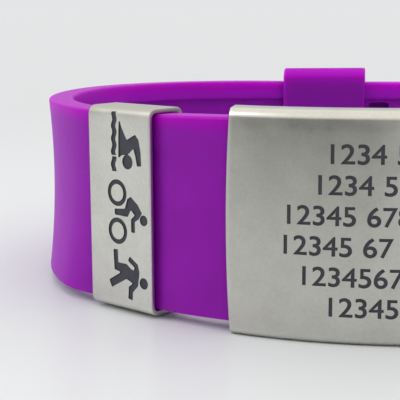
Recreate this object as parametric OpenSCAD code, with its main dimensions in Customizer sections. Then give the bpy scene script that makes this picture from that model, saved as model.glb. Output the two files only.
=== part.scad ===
// Sports id bracelet: a silicone strap with a curved steel plate, a steel slider and a keeper loop.
// It stands on its edge: +Z runs across the strap, the plate faces -Y and the closure is at +Y.
// Millimetres. The origin is on the floor, under the middle of the bracelet.

/* [Strap] */
// Width of the strap, from edge to edge
strap_w = 18.2; // [18:0.05:18.2]
// Thickness of the strap
strap_t = 2.6; // [2.2:0.1:2.7]
// Radius of the strap's moulded edges
strap_edge_r = 0.3; // [0.3:0.05:0.6]
// How far the slotted end runs past the middle of the back, inside the other end
tail_past = 19; // [16:1:22]
// How far the outer end runs past the middle of the back, into the keeper
head_past = 9.8; // [9:0.2:10.6]
// How much narrower the slotted end is than the rest of the strap
tail_narrower = 0.5; // [0.4:0.1:0.6]
// How much narrower the outer end is than the rest of the strap
head_narrower = 0.9; // [0.4:0.1:1]
// Air between the two layers at the back
layer_gap = 0.15; // [0.1:0.05:0.3]

/* [Channel and slots] */
// Width of the raised border on each side of the sunk channel
border_w = 2.25; // [1.6:0.05:2.8]
// Depth of the sunk channel in the inner face
channel_d = 0.5; // [0.3:0.1:0.8]
// Width of a slot along the strap
slot_w = 2.65; // [2.4:0.05:3]
// Height of a slot across the strap
slot_h = 12.6; // [11:0.2:13]
// Distance from one slot to the next
slot_pitch = 5.2; // [5:0.05:5.8]
// Place of the slot that shows beside the keeper, right of the middle of the back
slot_right = 1.7; // [1.4:0.1:2]

/* [Keeper] */
// Width of the keeper along the strap
keeper_w = 10.45; // [8:0.05:10.5]
// Distance of the keeper's middle from the middle of the back
keeper_left = 5.18; // [5.1:0.02:6]
// Degrees that the keeper's rims are off square, as it is pushed askew
keeper_skew = 6; // [0:1:6]
// Wall of the keeper
keeper_wall = 0.95; // [0.8:0.05:1]
// Radius of the keeper's outer corners
keeper_edge_r = 1.3; // [1.1:0.05:1.3]
// Air between the keeper and the strap's faces
keeper_gap = 0.24; // [0.22:0.02:0.3]
// Air above the strap in the keeper, at the front
keeper_headroom = 0.72; // [0.5:0.02:0.8]
// How much the keeper's top drops to the back
keeper_drop = 0.35; // [0:0.05:0.4]

/* [Id plate] */
// Width of the plate, straight across its corners
plate_w = 28.5; // [24:0.5:29]
// Height of the plate
plate_h = 20.05; // [20:0.05:21]
// Depth of the plate over its folds
plate_d = 3.9; // [3.9:0.1:4.4]
// Thickness of the steel sheet of the plate and the slider
sheet_t = 0.45; // [0.4:0.05:0.45]
// Outside radius of the folds
fold_r = 0.8; // [0.6:0.05:1]
// Height of the lips behind the plate
plate_lip = 4.5; // [3:0.5:7]
// How far the plate's ends bulge at mid height
plate_bulge = 0.38; // [0.2:0.02:0.6]

/* [Slider] */
// Width of the slider along the strap
slider_w = 8.1; // [6:0.1:8.2]
// Height of the slider
slider_h = 19.2; // [19.2:0.05:19.4]
// Depth of the slider over its folds
slider_d = 4.4; // [4.2:0.1:4.6]
// Height of the lips behind the slider
slider_lip = 4; // [3:0.5:6]

/* [Closure bar] */
// Thickness of the bar in the slots
bar_t = 1.9; // [1.4:0.1:2.1]
// Height of the bar in the slots
bar_h = 11.8; // [9:0.2:12]
// Width of the head outside
bar_head_w = 5.2; // [4:0.2:6]
// Height of the head outside
bar_head_h = 14; // [13:0.2:15]
// Thickness of the head
bar_head_t = 0.9; // [0.6:0.1:1.2]
// How far the foot reaches under the strap
bar_foot = 1.2; // [0.8:0.1:1.6]

/* [Hidden] */
$fn = 96;

// Plan of half the strap, along the middle of its thickness, from the middle of the plate
// to the middle of the back. The other half is its mirror image. The last row closes the
// loop, so its length and turn are worked out below.
LENGTH = 1; // length of the section
TURN = 2;   // degrees that it turns
FLARE = 3;  // how far both edges of the strap stand outwards at the section's end
LEAN = 4;   // how far its lower edge leans out and its upper edge in, at the section's end
LIFT = 5;   // height of its lower edge above the floor at the section's end
shape = [
    ["id plate",    14.6, 23.5, 0,     0,   1],
    ["link",         7,   12.5, 0.05,  0,   0.85],
    ["slider",       8.4,  1.5, 0.15,  0,   0.85],
    ["shoulder",     4,   19.4, 0.55,  0.4, 0.9],
    ["side",        25.8, 52.7, 0.45, -0.2, 0.9],
    ["back corner", 17.7, 56.4, 0.1,   0,   0.9]
];
front_lift = 1;
back_lift = 0.9;

// Headings and lengths of the sections, with the closing one
function total(rows, column, count) =
    count > 0 ? rows[count - 1][column] + total(rows, column, count - 1) : 0;
function radius(length, turn) = length * 180 / (turn * PI);
function arc_x(from, turn) = -(sin(from + turn) - sin(from)) * 180 / (turn * PI);
function arc_y(from, turn) = -(cos(from + turn) - cos(from)) * 180 / (turn * PI);
function total_x(rows, count) = count > 0
    ? rows[count - 1][LENGTH] * arc_x(total(rows, TURN, count - 1), rows[count - 1][TURN])
        + total_x(rows, count - 1)
    : 0;
function total_y(rows, count) = count > 0
    ? rows[count - 1][LENGTH] * arc_y(total(rows, TURN, count - 1), rows[count - 1][TURN])
        + total_y(rows, count - 1)
    : 0;
last_turn = 180 - total(shape, TURN, len(shape));
last_length = -total_x(shape, len(shape)) / arc_x(180 - last_turn, last_turn);
plan = concat(shape, [["back", last_length, last_turn, 0, 0, back_lift]]);
starts = [for (i = [0:len(plan)]) total(plan, LENGTH, i)];
half_loop = starts[len(plan)];

// Depths behind the plate's face of the middle line's front and of the keeper's back. The
// origin is halfway to the keeper's back.
line_front = plate_d / 2;
layer = strap_t + layer_gap;
keeper_s = half_loop - keeper_left;
keeper_place = line_at(keeper_s);
keeper_depth = strap_t + layer + 2 * (keeper_gap + keeper_wall);
keeper_back = line_front + keeper_place[1] - (layer + keeper_depth) / 2 * cos(keeper_place[2])
    + (keeper_w + keeper_depth * tan(keeper_skew)) / 2 * sin(keeper_place[2]);
origin_y = keeper_back / 2;

// Place and heading of the strap's middle line at s from the front, to the left if s is
// positive. Past the middle of the back it runs on into the other half.
function section_at(s) = len([for (i = [1:len(plan) - 1]) if (s > starts[i]) i]);
function half_at(s) =
    let (
        i = section_at(s),
        from = total(plan, TURN, i),
        turn = plan[i][TURN] * (s - starts[i]) / plan[i][LENGTH],
        r = radius(plan[i][LENGTH], plan[i][TURN])
    )
    [
        total_x(plan, i) - r * (sin(from + turn) - sin(from)),
        total_y(plan, i) - r * (cos(from + turn) - cos(from)),
        from + turn
    ];
function mirrored(p, heading) = [-p[0], p[1], heading];
function line_at(s) =
    s < 0 ? let (p = line_at(-s)) mirrored(p, -p[2])
    : s > half_loop ? let (p = half_at(2 * half_loop - s)) mirrored(p, 360 - p[2])
    : half_at(s);
function along_loop(s) = abs(s) > half_loop ? 2 * half_loop - abs(s) : abs(s);
function column_at(s, column, first) =
    lookup(along_loop(s), concat([[0, first]],
        [for (i = [0:len(plan) - 1]) [starts[i + 1], plan[i][column]]]));
function outward(heading) = [-sin(heading), -cos(heading)];

// Draws its children at s: their X runs along the strap, their Y points outwards
module on_line(s) {
    p = line_at(s);
    translate([p[0], p[1] + line_front - origin_y, 0]) rotate([0, 0, 180 - p[2]]) children();
}

// The outer end steps outwards by one layer before it meets the tail
step_length = 14;
step_end = half_loop - tail_past - 1;
function smooth(t) = let (u = min(1, max(0, t))) u * u * (3 - 2 * u);
function step_out(s) = smooth((-s - (step_end - step_length)) / step_length);

// The channel runs from the left back corner to near the tail's tip
channel_start = half_loop - 34;
channel_end = half_loop + tail_past - 4;
channel_ramp = 2;
function channel_at(s) =
    channel_d * smooth((s - channel_start) / channel_ramp) * smooth((channel_end - s) / channel_ramp);

// Both ends are rounded: a tip's half width and thickness shrink over its corner radius
tail_tip_r = 7;
head_tip_r = 2;
tip_steps = [0, 0.04, 0.12, 0.25, 0.42, 0.64, 1];
tip_thin = 0.4;
station_step = 2;
from_s = -(half_loop + head_past);
to_s = half_loop + tail_past;
inner_stations = ceil((to_s - from_s - tail_tip_r - head_tip_r) / station_step);
stations = concat(
    [for (t = tip_steps) from_s + t * head_tip_r],
    [for (i = [1:inner_stations - 1])
        from_s + head_tip_r + (to_s - from_s - tail_tip_r - head_tip_r) * i / inner_stations],
    [for (i = [len(tip_steps) - 1:-1:0]) to_s - tip_steps[i] * tail_tip_r]
);
function corner_loss(d, r) = d < r ? r - sqrt(r * r - (r - d) * (r - d)) : 0;
function half_width(s) =
    strap_w / 2 - head_narrower / 2 * step_out(s)
    - tail_narrower / 2 * smooth((s - keeper_s + 14) / 18)
    - corner_loss(s - from_s, head_tip_r) - corner_loss(to_s - s, tail_tip_r);
function half_thick(s) =
    strap_t / 2 - tip_thin * pow(1 - min(1, min(s - from_s, to_s - s) / 1.2), 2);

// Outline of the strap across its width: [outwards, up] from its middle, 22 points
function corner(w, z, r, from) = [for (a = [0, 45, 90]) [w + r * cos(from + a), z + r * sin(from + a)]];
function profile(s) =
    let (
        w = half_thick(s),
        z = half_width(s),
        r = strap_edge_r,
        edge = z - min(border_w, z / 2),
        floor_w = -w + channel_at(s),
        floor_z = edge - 0.25
    )
    concat(
        corner(w - r, -z + r, r, -90),
        [for (k = [-0.5, 0, 0.5]) [w, k * z]],
        corner(w - r, z - r, r, 0),
        corner(-w + r, z - r, r, 90),
        [[-w, edge], [floor_w, floor_z]],
        [for (k = [0.5, 0, -0.5]) [floor_w, k * floor_z]],
        [[floor_w, -floor_z], [-w, -edge]],
        corner(-w + r, -z + r, r, 180)
    );
profile_points = len(profile(0));

function strap_point(s, p) =
    let (
        place = line_at(s),
        up = p[1] / (strap_w / 2),
        flare = column_at(s, FLARE, 0) * up * up - column_at(s, LEAN, 0) * up,
        out = outward(place[2]) * (p[0] + flare + layer * step_out(s)),
        z = column_at(s, LIFT, front_lift) + strap_w / 2 + p[1]
    )
    [place[0] + out[0], place[1] + out[1] + line_front - origin_y, z];

// Skin over rings of equally many points, with flat ends
module skin(rings) {
    n = len(rings[0]);
    last = (len(rings) - 1) * n;
    polyhedron(
        points = [for (ring = rings) for (p = ring) p],
        faces = concat(
            [[for (j = [n - 1:-1:0]) j]],
            [for (i = [0:len(rings) - 2]) for (j = [0:n - 1])
                let (a = i * n + j, b = i * n + (j + 1) % n) each [[a, b, b + n], [a, b + n, a + n]]],
            [[for (j = [0:n - 1]) last + j]]
        ),
        convexity = 10
    );
}

// Flat shape with round corners, about its middle
module rounded(w, h, r) {
    square([w - 2 * r, h], center = true);
    square([w, h - 2 * r], center = true);
    for (x = [-1, 1], y = [-1, 1]) translate([x * (w / 2 - r), y * (h / 2 - r)]) circle(r);
}

// Slot at s, cut outwards between two distances from the middle line
module slot_cut(s, from, to) {
    on_line(s) translate([0, to, back_lift + strap_w / 2]) rotate([90, 0, 0])
        linear_extrude(to - from) rounded(slot_w, slot_h, 0.6);
}

slot_past = 0.07;
slots = [for (i = [-2:2]) half_loop + slot_right + i * slot_pitch];
closed_slot = slots[3];

module strap() {
    color("darkviolet") difference() {
        skin([for (s = stations) [for (p = profile(s)) strap_point(s, p)]]);
        for (s = slots) slot_cut(s, -strap_t / 2 - 1, strap_t / 2 + slot_past);
        slot_cut(closed_slot, strap_t / 2 + slot_past, strap_t / 2 + layer + 1);
    }
}

// Outline of the keeper or of its hollow, with corners of radius r: X points to the back
module keeper_outline(r) {
    x = keeper_depth / 2 - keeper_edge_r;
    low = keeper_edge_r;
    front = back_lift + strap_w + keeper_headroom + keeper_wall - keeper_edge_r;
    back = front - keeper_drop;
    tilt = atan(keeper_drop / (2 * x));
    for (p = [[-x, low], [x, low], [x, back], [-x, front]]) translate(p) circle(r);
    polygon([
        [-x - r, low], [-x, low - r], [x, low - r], [x + r, low],
        [x + r, back], [x + r * sin(tilt), back + r * cos(tilt)],
        [-x + r * sin(tilt), front + r * cos(tilt)], [-x - r, front]
    ]);
}

module keeper() {
    length = keeper_w + 4;
    color("mediumorchid") on_line(keeper_s) translate([0, layer / 2, 0]) intersection() {
        translate([-length / 2, 0, 0]) rotate([90, 0, 90]) linear_extrude(length) difference() {
            keeper_outline(keeper_edge_r);
            keeper_outline(keeper_edge_r - keeper_wall);
        }
        rotate([0, 0, -keeper_skew])
            cube([keeper_w * cos(keeper_skew), 20, 3 * strap_w], center = true);
    }
}

// Section of a folded sheet: the face is at x = 0, the folds run to x = -depth, and the
// lips leave the back open
module folded_sheet(depth, height, lip) {
    inner_h = height - 2 * sheet_t;
    translate([-depth / 2, height / 2]) difference() {
        rounded(depth, height, fold_r);
        rounded(depth - 2 * sheet_t, inner_h, fold_r - sheet_t);
        translate([-depth / 2, 0]) square([depth, height - 2 * lip], center = true);
    }
}

plate_face_r = radius(shape[0][LENGTH], shape[0][TURN]) + line_front;
plate_angle = asin((plate_w / 2 + plate_bulge) / (plate_face_r - plate_d)) + 1;
end_r = (plate_h * plate_h / 4 + plate_bulge * plate_bulge) / (2 * plate_bulge);

// What is cut off an end of the plate: all beyond an arc that bulges at mid height
module plate_end(side) {
    cut = 10;
    translate([0, plate_d, plate_h / 2]) difference() {
        translate([side * (plate_w + cut) / 2, 0, 0])
            cube([cut, 2 * cut, 2 * plate_h], center = true);
        translate([side * (plate_w / 2 + plate_bulge - end_r), 0, 0])
            rotate([90, 0, 0]) cylinder(h = 3 * cut, r = end_r, $fn = 360, center = true);
    }
}

module id_plate() {
    color("silver") translate([0, -origin_y, 0]) difference() {
        translate([0, plate_face_r, 0]) rotate([0, 0, -90 - plate_angle])
            rotate_extrude(angle = 2 * plate_angle, $fn = 180)
                translate([plate_face_r, 0]) folded_sheet(plate_d, plate_h, plate_lip);
        for (side = [-1, 1]) plate_end(side);
    }
}

slider_s = shape[0][LENGTH] + shape[1][LENGTH] + shape[2][LENGTH] / 2;
slider_lift = shape[2][LIFT] + (strap_w - slider_h) / 2;

module slider() {
    color("gainsboro") on_line(slider_s) translate([-slider_w / 2, slider_d / 2, slider_lift])
        rotate([90, 0, 90]) linear_extrude(slider_w) folded_sheet(slider_d, slider_h, slider_lip);
}

module closure_bar() {
    outside = strap_t / 2 + layer + 0.1;
    foot_t = channel_d - 0.1;
    inside = -strap_t / 2;
    color("gray") on_line(closed_slot) translate([0, 0, back_lift + strap_w / 2]) {
        translate([-bar_t / 2, inside, -bar_h / 2]) cube([bar_t, outside - inside, bar_h]);
        translate([-bar_t / 2, inside, -bar_h / 2]) cube([bar_t + bar_foot, foot_t, bar_h]);
        translate([0, outside + bar_head_t, 0]) rotate([90, 0, 0])
            linear_extrude(bar_head_t) rounded(bar_head_w, bar_head_h, 1.6);
    }
}

strap();
keeper();
id_plate();
slider();
closure_bar();
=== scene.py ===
"""Sports id bracelet: a silicone strap with a curved steel plate, a steel slider and a keeper loop."""

import math

import bmesh
import bpy
from bpy.props import FloatProperty, FloatVectorProperty, IntProperty, PointerProperty, StringProperty
from mathutils import Matrix, Vector


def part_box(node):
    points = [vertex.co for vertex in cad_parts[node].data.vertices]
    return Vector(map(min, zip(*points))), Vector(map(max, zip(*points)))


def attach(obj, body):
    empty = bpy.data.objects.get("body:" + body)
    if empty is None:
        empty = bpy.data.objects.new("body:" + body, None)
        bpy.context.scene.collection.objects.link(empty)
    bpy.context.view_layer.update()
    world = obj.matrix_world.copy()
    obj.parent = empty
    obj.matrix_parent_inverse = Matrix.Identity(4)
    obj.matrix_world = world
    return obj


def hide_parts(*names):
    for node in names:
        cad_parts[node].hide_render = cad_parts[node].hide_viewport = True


bl_info = {
    "name": "Id bracelet",
    "version": (1, 0, 0),
    "blender": (4, 5, 0),
    "location": "View3D > Sidebar > Id bracelet",
    "description": "Builds a silicone id bracelet with a curved steel plate, a slider and a keeper",
    "category": "Object",
}

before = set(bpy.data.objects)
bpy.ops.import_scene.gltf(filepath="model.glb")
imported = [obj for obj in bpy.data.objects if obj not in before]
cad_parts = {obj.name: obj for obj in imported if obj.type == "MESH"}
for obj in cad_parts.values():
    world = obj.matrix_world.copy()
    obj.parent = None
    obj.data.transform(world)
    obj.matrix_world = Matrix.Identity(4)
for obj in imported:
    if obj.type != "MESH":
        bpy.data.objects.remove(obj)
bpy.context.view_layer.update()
PLATE_LOW, PLATE_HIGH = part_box("id_plate")
KEEPER_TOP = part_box("keeper")[1].z

MM = 0.001
UP = Vector((0, 0, 1))

# Plan of half the strap, from the middle of the plate to the middle of the back, in
# millimetres and degrees. Flare: how far both edges stand outwards at the section's end.
# Lean: how far the lower edge leans out and the upper edge in. Lift: height above the floor.
SECTIONS = (
    # name, length, turn, flare, lean, lift
    ("id plate", 14.6, 23.5, 0, 0, 1),
    ("link", 7, 12.5, 0.05, 0, 0.85),
    ("slider", 8.4, 1.5, 0.15, 0, 0.85),
    ("shoulder", 4, 19.4, 0.55, 0.4, 0.9),
    ("side", 25.8, 52.7, 0.45, -0.2, 0.9),
    ("back corner", 17.7, 56.4, 0.1, 0, 0.9),
)
LENGTH, TURN, FLARE, LEAN, LIFT = range(1, 6)
PLATE_SECTION, SLIDER_SECTION = 0, 2
FRONT_LIFT = 1
BACK_LIFT = 0.9

# Millimetres along the strap that count as none, and radians off straight that make no corner
TINY = 1e-9
STRAIGHT = 0.01
# Points closer than this are one point, in a shape under construction and in a finished piece
NEAR, WELD = 0.0001 * MM, 0.002 * MM


def smooth(t):
    """Eases from 0 to 1 as t does."""
    u = min(1.0, max(0.0, t))
    return u * u * (3 - 2 * u)


# Middle line of the strap

class Loop:
    """Middle line of the strap in plan. s runs from the middle of the plate, to the left if positive."""

    def __init__(self, front_y):
        self.front_y = front_y
        self.rows = []
        start = x = y = heading = 0.0
        for section in SECTIONS:
            length, turn = section[LENGTH], section[TURN]
            self.rows.append((start, x, y, heading, length, turn))
            dx, dy = self.step(heading, length, turn)
            start, x, y, heading = start + length, x + dx, y + dy, heading + turn
        turn = 180 - heading
        length = -x / self.step(heading, 1, turn)[0]
        self.rows.append((start, x, y, heading, length, turn))
        self.half = start + length
        self.ends = [row[0] for row in self.rows[1:]] + [self.half]

    @staticmethod
    def step(heading, length, turn):
        """How far an arc that starts at a heading goes in x and y."""
        radius = length / math.radians(turn)
        a, b = math.radians(heading), math.radians(heading + turn)
        return -radius * (math.sin(b) - math.sin(a)), -radius * (math.cos(b) - math.cos(a))

    def from_front(self, s):
        """Distance from the middle of the plate, the shorter way round."""
        return 2 * self.half - abs(s) if abs(s) > self.half else abs(s)

    def half_place(self, s):
        """Place and heading in the left half, at s from the middle of the plate."""
        start, x, y, heading, length, turn = [row for row in self.rows if row[0] <= max(s, 0)][-1]
        turned = turn * (s - start) / length
        if abs(s - start) < TINY:
            return x, y, heading
        dx, dy = self.step(heading, s - start, turned)
        return x + dx, y + dy, heading + turned

    def place(self, s):
        """Point in metres and unit vector outwards at s millimetres along."""
        x, y, heading = self.half_place(self.from_front(s))
        if abs(s) > self.half:
            x, heading = -x, 360 - heading
        if s < 0:
            x, heading = -x, -heading
        a = math.radians(heading)
        return Vector((x * MM, y * MM + self.front_y, 0)), Vector((-math.sin(a), -math.cos(a), 0))

    def column(self, s, which, first=0):
        """Value of a column of the table at s, straight between the sections' ends."""
        s = self.from_front(s)
        last = {FLARE: 0, LEAN: 0, LIFT: BACK_LIFT}[which]
        values = [first] + [row[which] for row in SECTIONS] + [last]
        marks = [0] + self.ends
        for a, b, low, high in zip(marks, marks[1:], values, values[1:]):
            if s <= b + TINY:
                return low + (high - low) * (s - a) / (b - a)
        return last


# Shapes and meshes

def rounded_outline(corners, spacing=0.0, steps=5):
    """Closed outline with an arc at each corner (x, y, radius), and points along its straight runs."""
    count = len(corners)
    arcs = []
    for i, (x, y, r) in enumerate(corners):
        here = Vector((x, y))
        back = (Vector(corners[i - 1][:2]) - here).normalized()
        on = (Vector(corners[(i + 1) % count][:2]) - here).normalized()
        half = math.acos(max(-1, min(1, back.dot(on)))) / 2
        if r <= 0 or half > math.pi / 2 - STRAIGHT:
            arcs.append([here])
            continue
        centre = here + (back + on).normalized() * (r / math.sin(half))
        a, b = here + back * (r / math.tan(half)) - centre, here + on * (r / math.tan(half)) - centre
        sweep = a.angle_signed(b)
        arcs.append([centre + Matrix.Rotation(-sweep * k / steps, 2) @ a for k in range(steps + 1)])
    points = []
    for i, arc in enumerate(arcs):
        points += arc
        run = arcs[(i + 1) % count][0] - arc[-1]
        parts = math.ceil(run.length / spacing) if spacing else 1
        points += [arc[-1] + run * k / parts for k in range(1, parts)]
    return points


def box_corners(w, h, r):
    """Corners of a rectangle about its middle, for rounded_outline."""
    return [(-w / 2, -h / 2, r), (w / 2, -h / 2, r), (w / 2, h / 2, r), (-w / 2, h / 2, r)]


def new_object(name, data):
    made = bpy.data.objects.new(name, data)
    bpy.context.scene.collection.objects.link(made)
    return made


def prisms(name, outlines, place, low, high, finish=None):
    """Closed solids over flat outlines. place turns (x, y, height) into a point."""
    bm = bmesh.new()
    for outline in outlines:
        rings = [[bm.verts.new(place(p[0], p[1], z)) for p in outline] for z in (low, high)]
        bm.faces.new(rings[0])
        bm.faces.new(rings[1])
        for i in range(len(outline)):
            j = (i + 1) % len(outline)
            bm.faces.new((rings[0][i], rings[0][j], rings[1][j], rings[1][i]))
    bmesh.ops.recalc_face_normals(bm, faces=bm.faces)
    mesh = bpy.data.meshes.new(name)
    bm.to_mesh(mesh)
    bm.free()
    if finish:
        mesh.materials.append(finish)
    return new_object(name, mesh)


def line_object(name, points, closed, values):
    """Line of points that carries a value, or a vector, of each name at each point."""
    mesh = bpy.data.meshes.new(name)
    edges = [(i, i + 1) for i in range(len(points) - 1)] + ([(len(points) - 1, 0)] if closed else [])
    mesh.from_pydata([Vector(p).to_3d() for p in points], edges, [])
    for key, column in values.items():
        vector = isinstance(column[0], Vector)
        layer = mesh.attributes.new(key, "FLOAT_VECTOR" if vector else "FLOAT", "POINT")
        for item, value in zip(layer.data, column):
            if vector:
                item.vector = value
            else:
                item.value = value
    return new_object(name, mesh)


# Numbers that a rail carries, with what each is where a station doesn't say
RAIL_NUMBERS = {"thick": 1.0, "wide": 1.0, "flare": 0.0, "lean": 0.0, "sunk": 0.0, "end": 0.0}
CARRIED = (*RAIL_NUMBERS, "centre", "out", "up", "out_by", "up_by", "height", "back", "floor")


def rail(name, stations, closed=False):
    """Line that a piece is swept along. A station has its centre, out and up, and any of RAIL_NUMBERS."""
    values = {key: [s[key] for s in stations] for key in ("centre", "out", "up")}
    values.update({key: [s.get(key, usual) for s in stations] for key, usual in RAIL_NUMBERS.items()})
    return line_object(name, values["centre"], closed, values)


def profile(name, points, floor=None):
    """Closed section of a swept piece: x outwards and y up. floor marks the bed of a channel."""
    half = max(abs(p[1]) for p in points)
    depths = [p[0] for p in points]
    front, depth = max(depths), max(depths) - min(depths)
    return line_object(name, points, True, {
        "out_by": depths,
        "up_by": [p[1] for p in points],
        "height": [p[1] / half for p in points],
        "back": [(front - d) / depth for d in depths],
        "floor": floor or [0.0] * len(points),
    })


def finished(source, name, node, sharp=35, helpers=()):
    """Turns a modified object into a plain mesh piece that stands for a CAD node."""
    bpy.context.view_layer.update()
    graph = bpy.context.evaluated_depsgraph_get()
    mesh = bpy.data.meshes.new_from_object(source.evaluated_get(graph), depsgraph=graph)
    bm = bmesh.new()
    bm.from_mesh(mesh)
    bmesh.ops.remove_doubles(bm, verts=bm.verts, dist=WELD)
    bmesh.ops.dissolve_degenerate(bm, edges=bm.edges, dist=WELD)
    bmesh.ops.recalc_face_normals(bm, faces=bm.faces)
    bm.to_mesh(mesh)
    bm.free()
    if not mesh.polygons:
        raise RuntimeError(f"{name} came out empty")
    for carried in CARRIED:
        if carried in mesh.attributes:
            mesh.attributes.remove(mesh.attributes[carried])
    mesh.shade_smooth()
    mesh.set_sharp_from_angle(angle=math.radians(sharp))
    piece = new_object(name, mesh)
    for helper in (source, *helpers):
        bpy.data.objects.remove(helper)
    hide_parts(node)
    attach(piece, "root")
    return piece


# Node trees

class Nodes:
    """A node tree under construction. Most methods make a node and return one of its outputs."""

    def __init__(self, name, kind="GeometryNodeTree", tree=None):
        self.tree = tree or bpy.data.node_groups.new(name, kind)
        self.ends = {}

    def take(self, name, kind, value=None):
        """New input of the whole tree."""
        socket = self.tree.interface.new_socket(name, in_out="INPUT", socket_type="NodeSocket" + kind)
        if value is not None:
            socket.default_value = value
        if "in" not in self.ends:
            self.ends["in"] = self.tree.nodes.new("NodeGroupInput")
        return self.ends["in"].outputs[name]

    def give(self, name, kind, value):
        """New output of the whole tree."""
        self.tree.interface.new_socket(name, in_out="OUTPUT", socket_type="NodeSocket" + kind)
        if "out" not in self.ends:
            self.ends["out"] = self.tree.nodes.new("NodeGroupOutput")
        self.feed(self.ends["out"], {name: value})

    def feed(self, node, feeds):
        """Sets a node's inputs. Each is given an output, a list of outputs, or a constant."""
        for key, value in feeds.items():
            for item in value if isinstance(value, list) else [value]:
                if isinstance(item, bpy.types.NodeSocket):
                    self.tree.links.new(item, node.inputs[key])
                else:
                    node.inputs[key].default_value = item

    def add(self, kind, feeds=None, output=0, **settings):
        """Makes a node of any kind, feeds its inputs and returns one output."""
        node = self.tree.nodes.new(kind)
        for key, value in settings.items():
            setattr(node, key, value)
        self.feed(node, feeds or {})
        return node.outputs[output]

    def math(self, operation, *values):
        return self.add("ShaderNodeMath", dict(enumerate(values)), operation=operation)

    def vector(self, operation, *values):
        return self.add("ShaderNodeVectorMath", dict(enumerate(values)), operation=operation)

    def scaled(self, vector, number):
        return self.add("ShaderNodeVectorMath", {"Vector": vector, "Scale": number}, operation="SCALE")

    def joined(self, *values):
        """Vector of X, Y and Z."""
        return self.add("ShaderNodeCombineXYZ", dict(zip("XYZ", values)))

    def split(self, vector):
        """X, Y and Z of a vector."""
        return list(self.add("ShaderNodeSeparateXYZ", {"Vector": vector}).node.outputs)

    def place(self):
        """X, Y and Z of a point of the piece, for a material."""
        return self.split(self.add("ShaderNodeTexCoord", output="Object"))

    def blend(self, factor, low, high):
        """Colour between two, each a colour or an output."""
        low, high = [c if isinstance(c, bpy.types.NodeSocket) else (*c, 1.0) for c in (low, high)]
        return self.add("ShaderNodeMix", {0: factor, 6: low, 7: high}, 2, data_type="RGBA")

    def ramp(self, value, low, high, start=0.2, end=0.8):
        """Number that goes from low to high as value goes from start to end."""
        return self.add("ShaderNodeMapRange", {
            "Value": value, "From Min": start, "From Max": end, "To Min": low, "To Max": high})

    def smooth_step(self, value, start, end, low=0.0):
        """Number that goes softly from low to 1 as value goes from start to end."""
        return self.add("ShaderNodeMapRange", {
            "Value": value, "From Min": start, "From Max": end, "To Min": low,
        }, interpolation_type="SMOOTHSTEP")

    def named(self, name, kind="FLOAT"):
        """Value that each point carries under a name."""
        return self.add("GeometryNodeInputNamedAttribute", {"Name": name}, "Attribute", data_type=kind)

    def shape_of(self, source):
        """Geometry of an object."""
        return self.add("GeometryNodeObjectInfo", {"Object": source}, "Geometry")

    def real(self, shape):
        """Geometry without instances."""
        return self.add("GeometryNodeRealizeInstances", {"Geometry": shape})

    def moved(self, shape, **feeds):
        return self.add("GeometryNodeSetPosition", {"Geometry": shape, **feeds})

    def dressed(self, shape, finish):
        return self.add("GeometryNodeSetMaterial", {"Geometry": shape, "Material": finish})

    def cut(self, shape, cutter):
        return self.add("GeometryNodeMeshBoolean", {"Mesh 1": shape, "Mesh 2": cutter},
                        operation="DIFFERENCE", solver="EXACT")


def sweep_tree():
    """Sweeps a section along a rail, and shapes it by the values that both carry."""
    t = Nodes("Swept section")
    line = t.take("Rail", "Geometry")
    section = t.take("Section", "Object")
    channel = t.take("Channel depth", "Float", 0.0)
    bulge = t.take("End bulge", "Float", 0.0)
    back = t.take("End growth at the back", "Float", 0.0)
    finish = t.take("Finish", "Material")
    swept = t.add("GeometryNodeCurveToMesh", {
        "Curve": t.add("GeometryNodeMeshToCurve", {"Mesh": line}),
        "Profile Curve": t.add("GeometryNodeMeshToCurve", {"Mesh": t.shape_of(section)}),
        "Fill Caps": True,
    })
    out, up = t.named("out", "FLOAT_VECTOR"), t.named("up", "FLOAT_VECTOR")
    height = t.named("height")
    squared = t.math("MULTIPLY", height, height)
    outwards = t.math("MULTIPLY", t.named("out_by"), t.named("thick"))
    outwards = t.math("MULTIPLY_ADD", t.named("flare"), squared, outwards)
    outwards = t.math("SUBTRACT", outwards, t.math("MULTIPLY", t.named("lean"), height))
    bed = t.math("MULTIPLY", t.named("sunk"), t.named("floor"))
    outwards = t.math("MULTIPLY_ADD", bed, channel, outwards)
    upwards = t.math("MULTIPLY", t.named("up_by"), t.named("wide"))
    sideways = t.math("MULTIPLY", bulge, t.math("SUBTRACT", 1.0, squared))
    sideways = t.math("MULTIPLY_ADD", back, t.named("back"), sideways)
    sideways = t.math("MULTIPLY", sideways, t.named("end"))
    place = t.vector("ADD", t.named("centre", "FLOAT_VECTOR"), t.scaled(out, outwards))
    place = t.vector("ADD", place, t.scaled(up, upwards))
    place = t.vector("ADD", place, t.scaled(t.vector("CROSS_PRODUCT", out, up), sideways))
    t.give("Piece", "Geometry", t.dressed(t.real(t.moved(swept, Position=place)), finish))
    return t.tree


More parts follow.
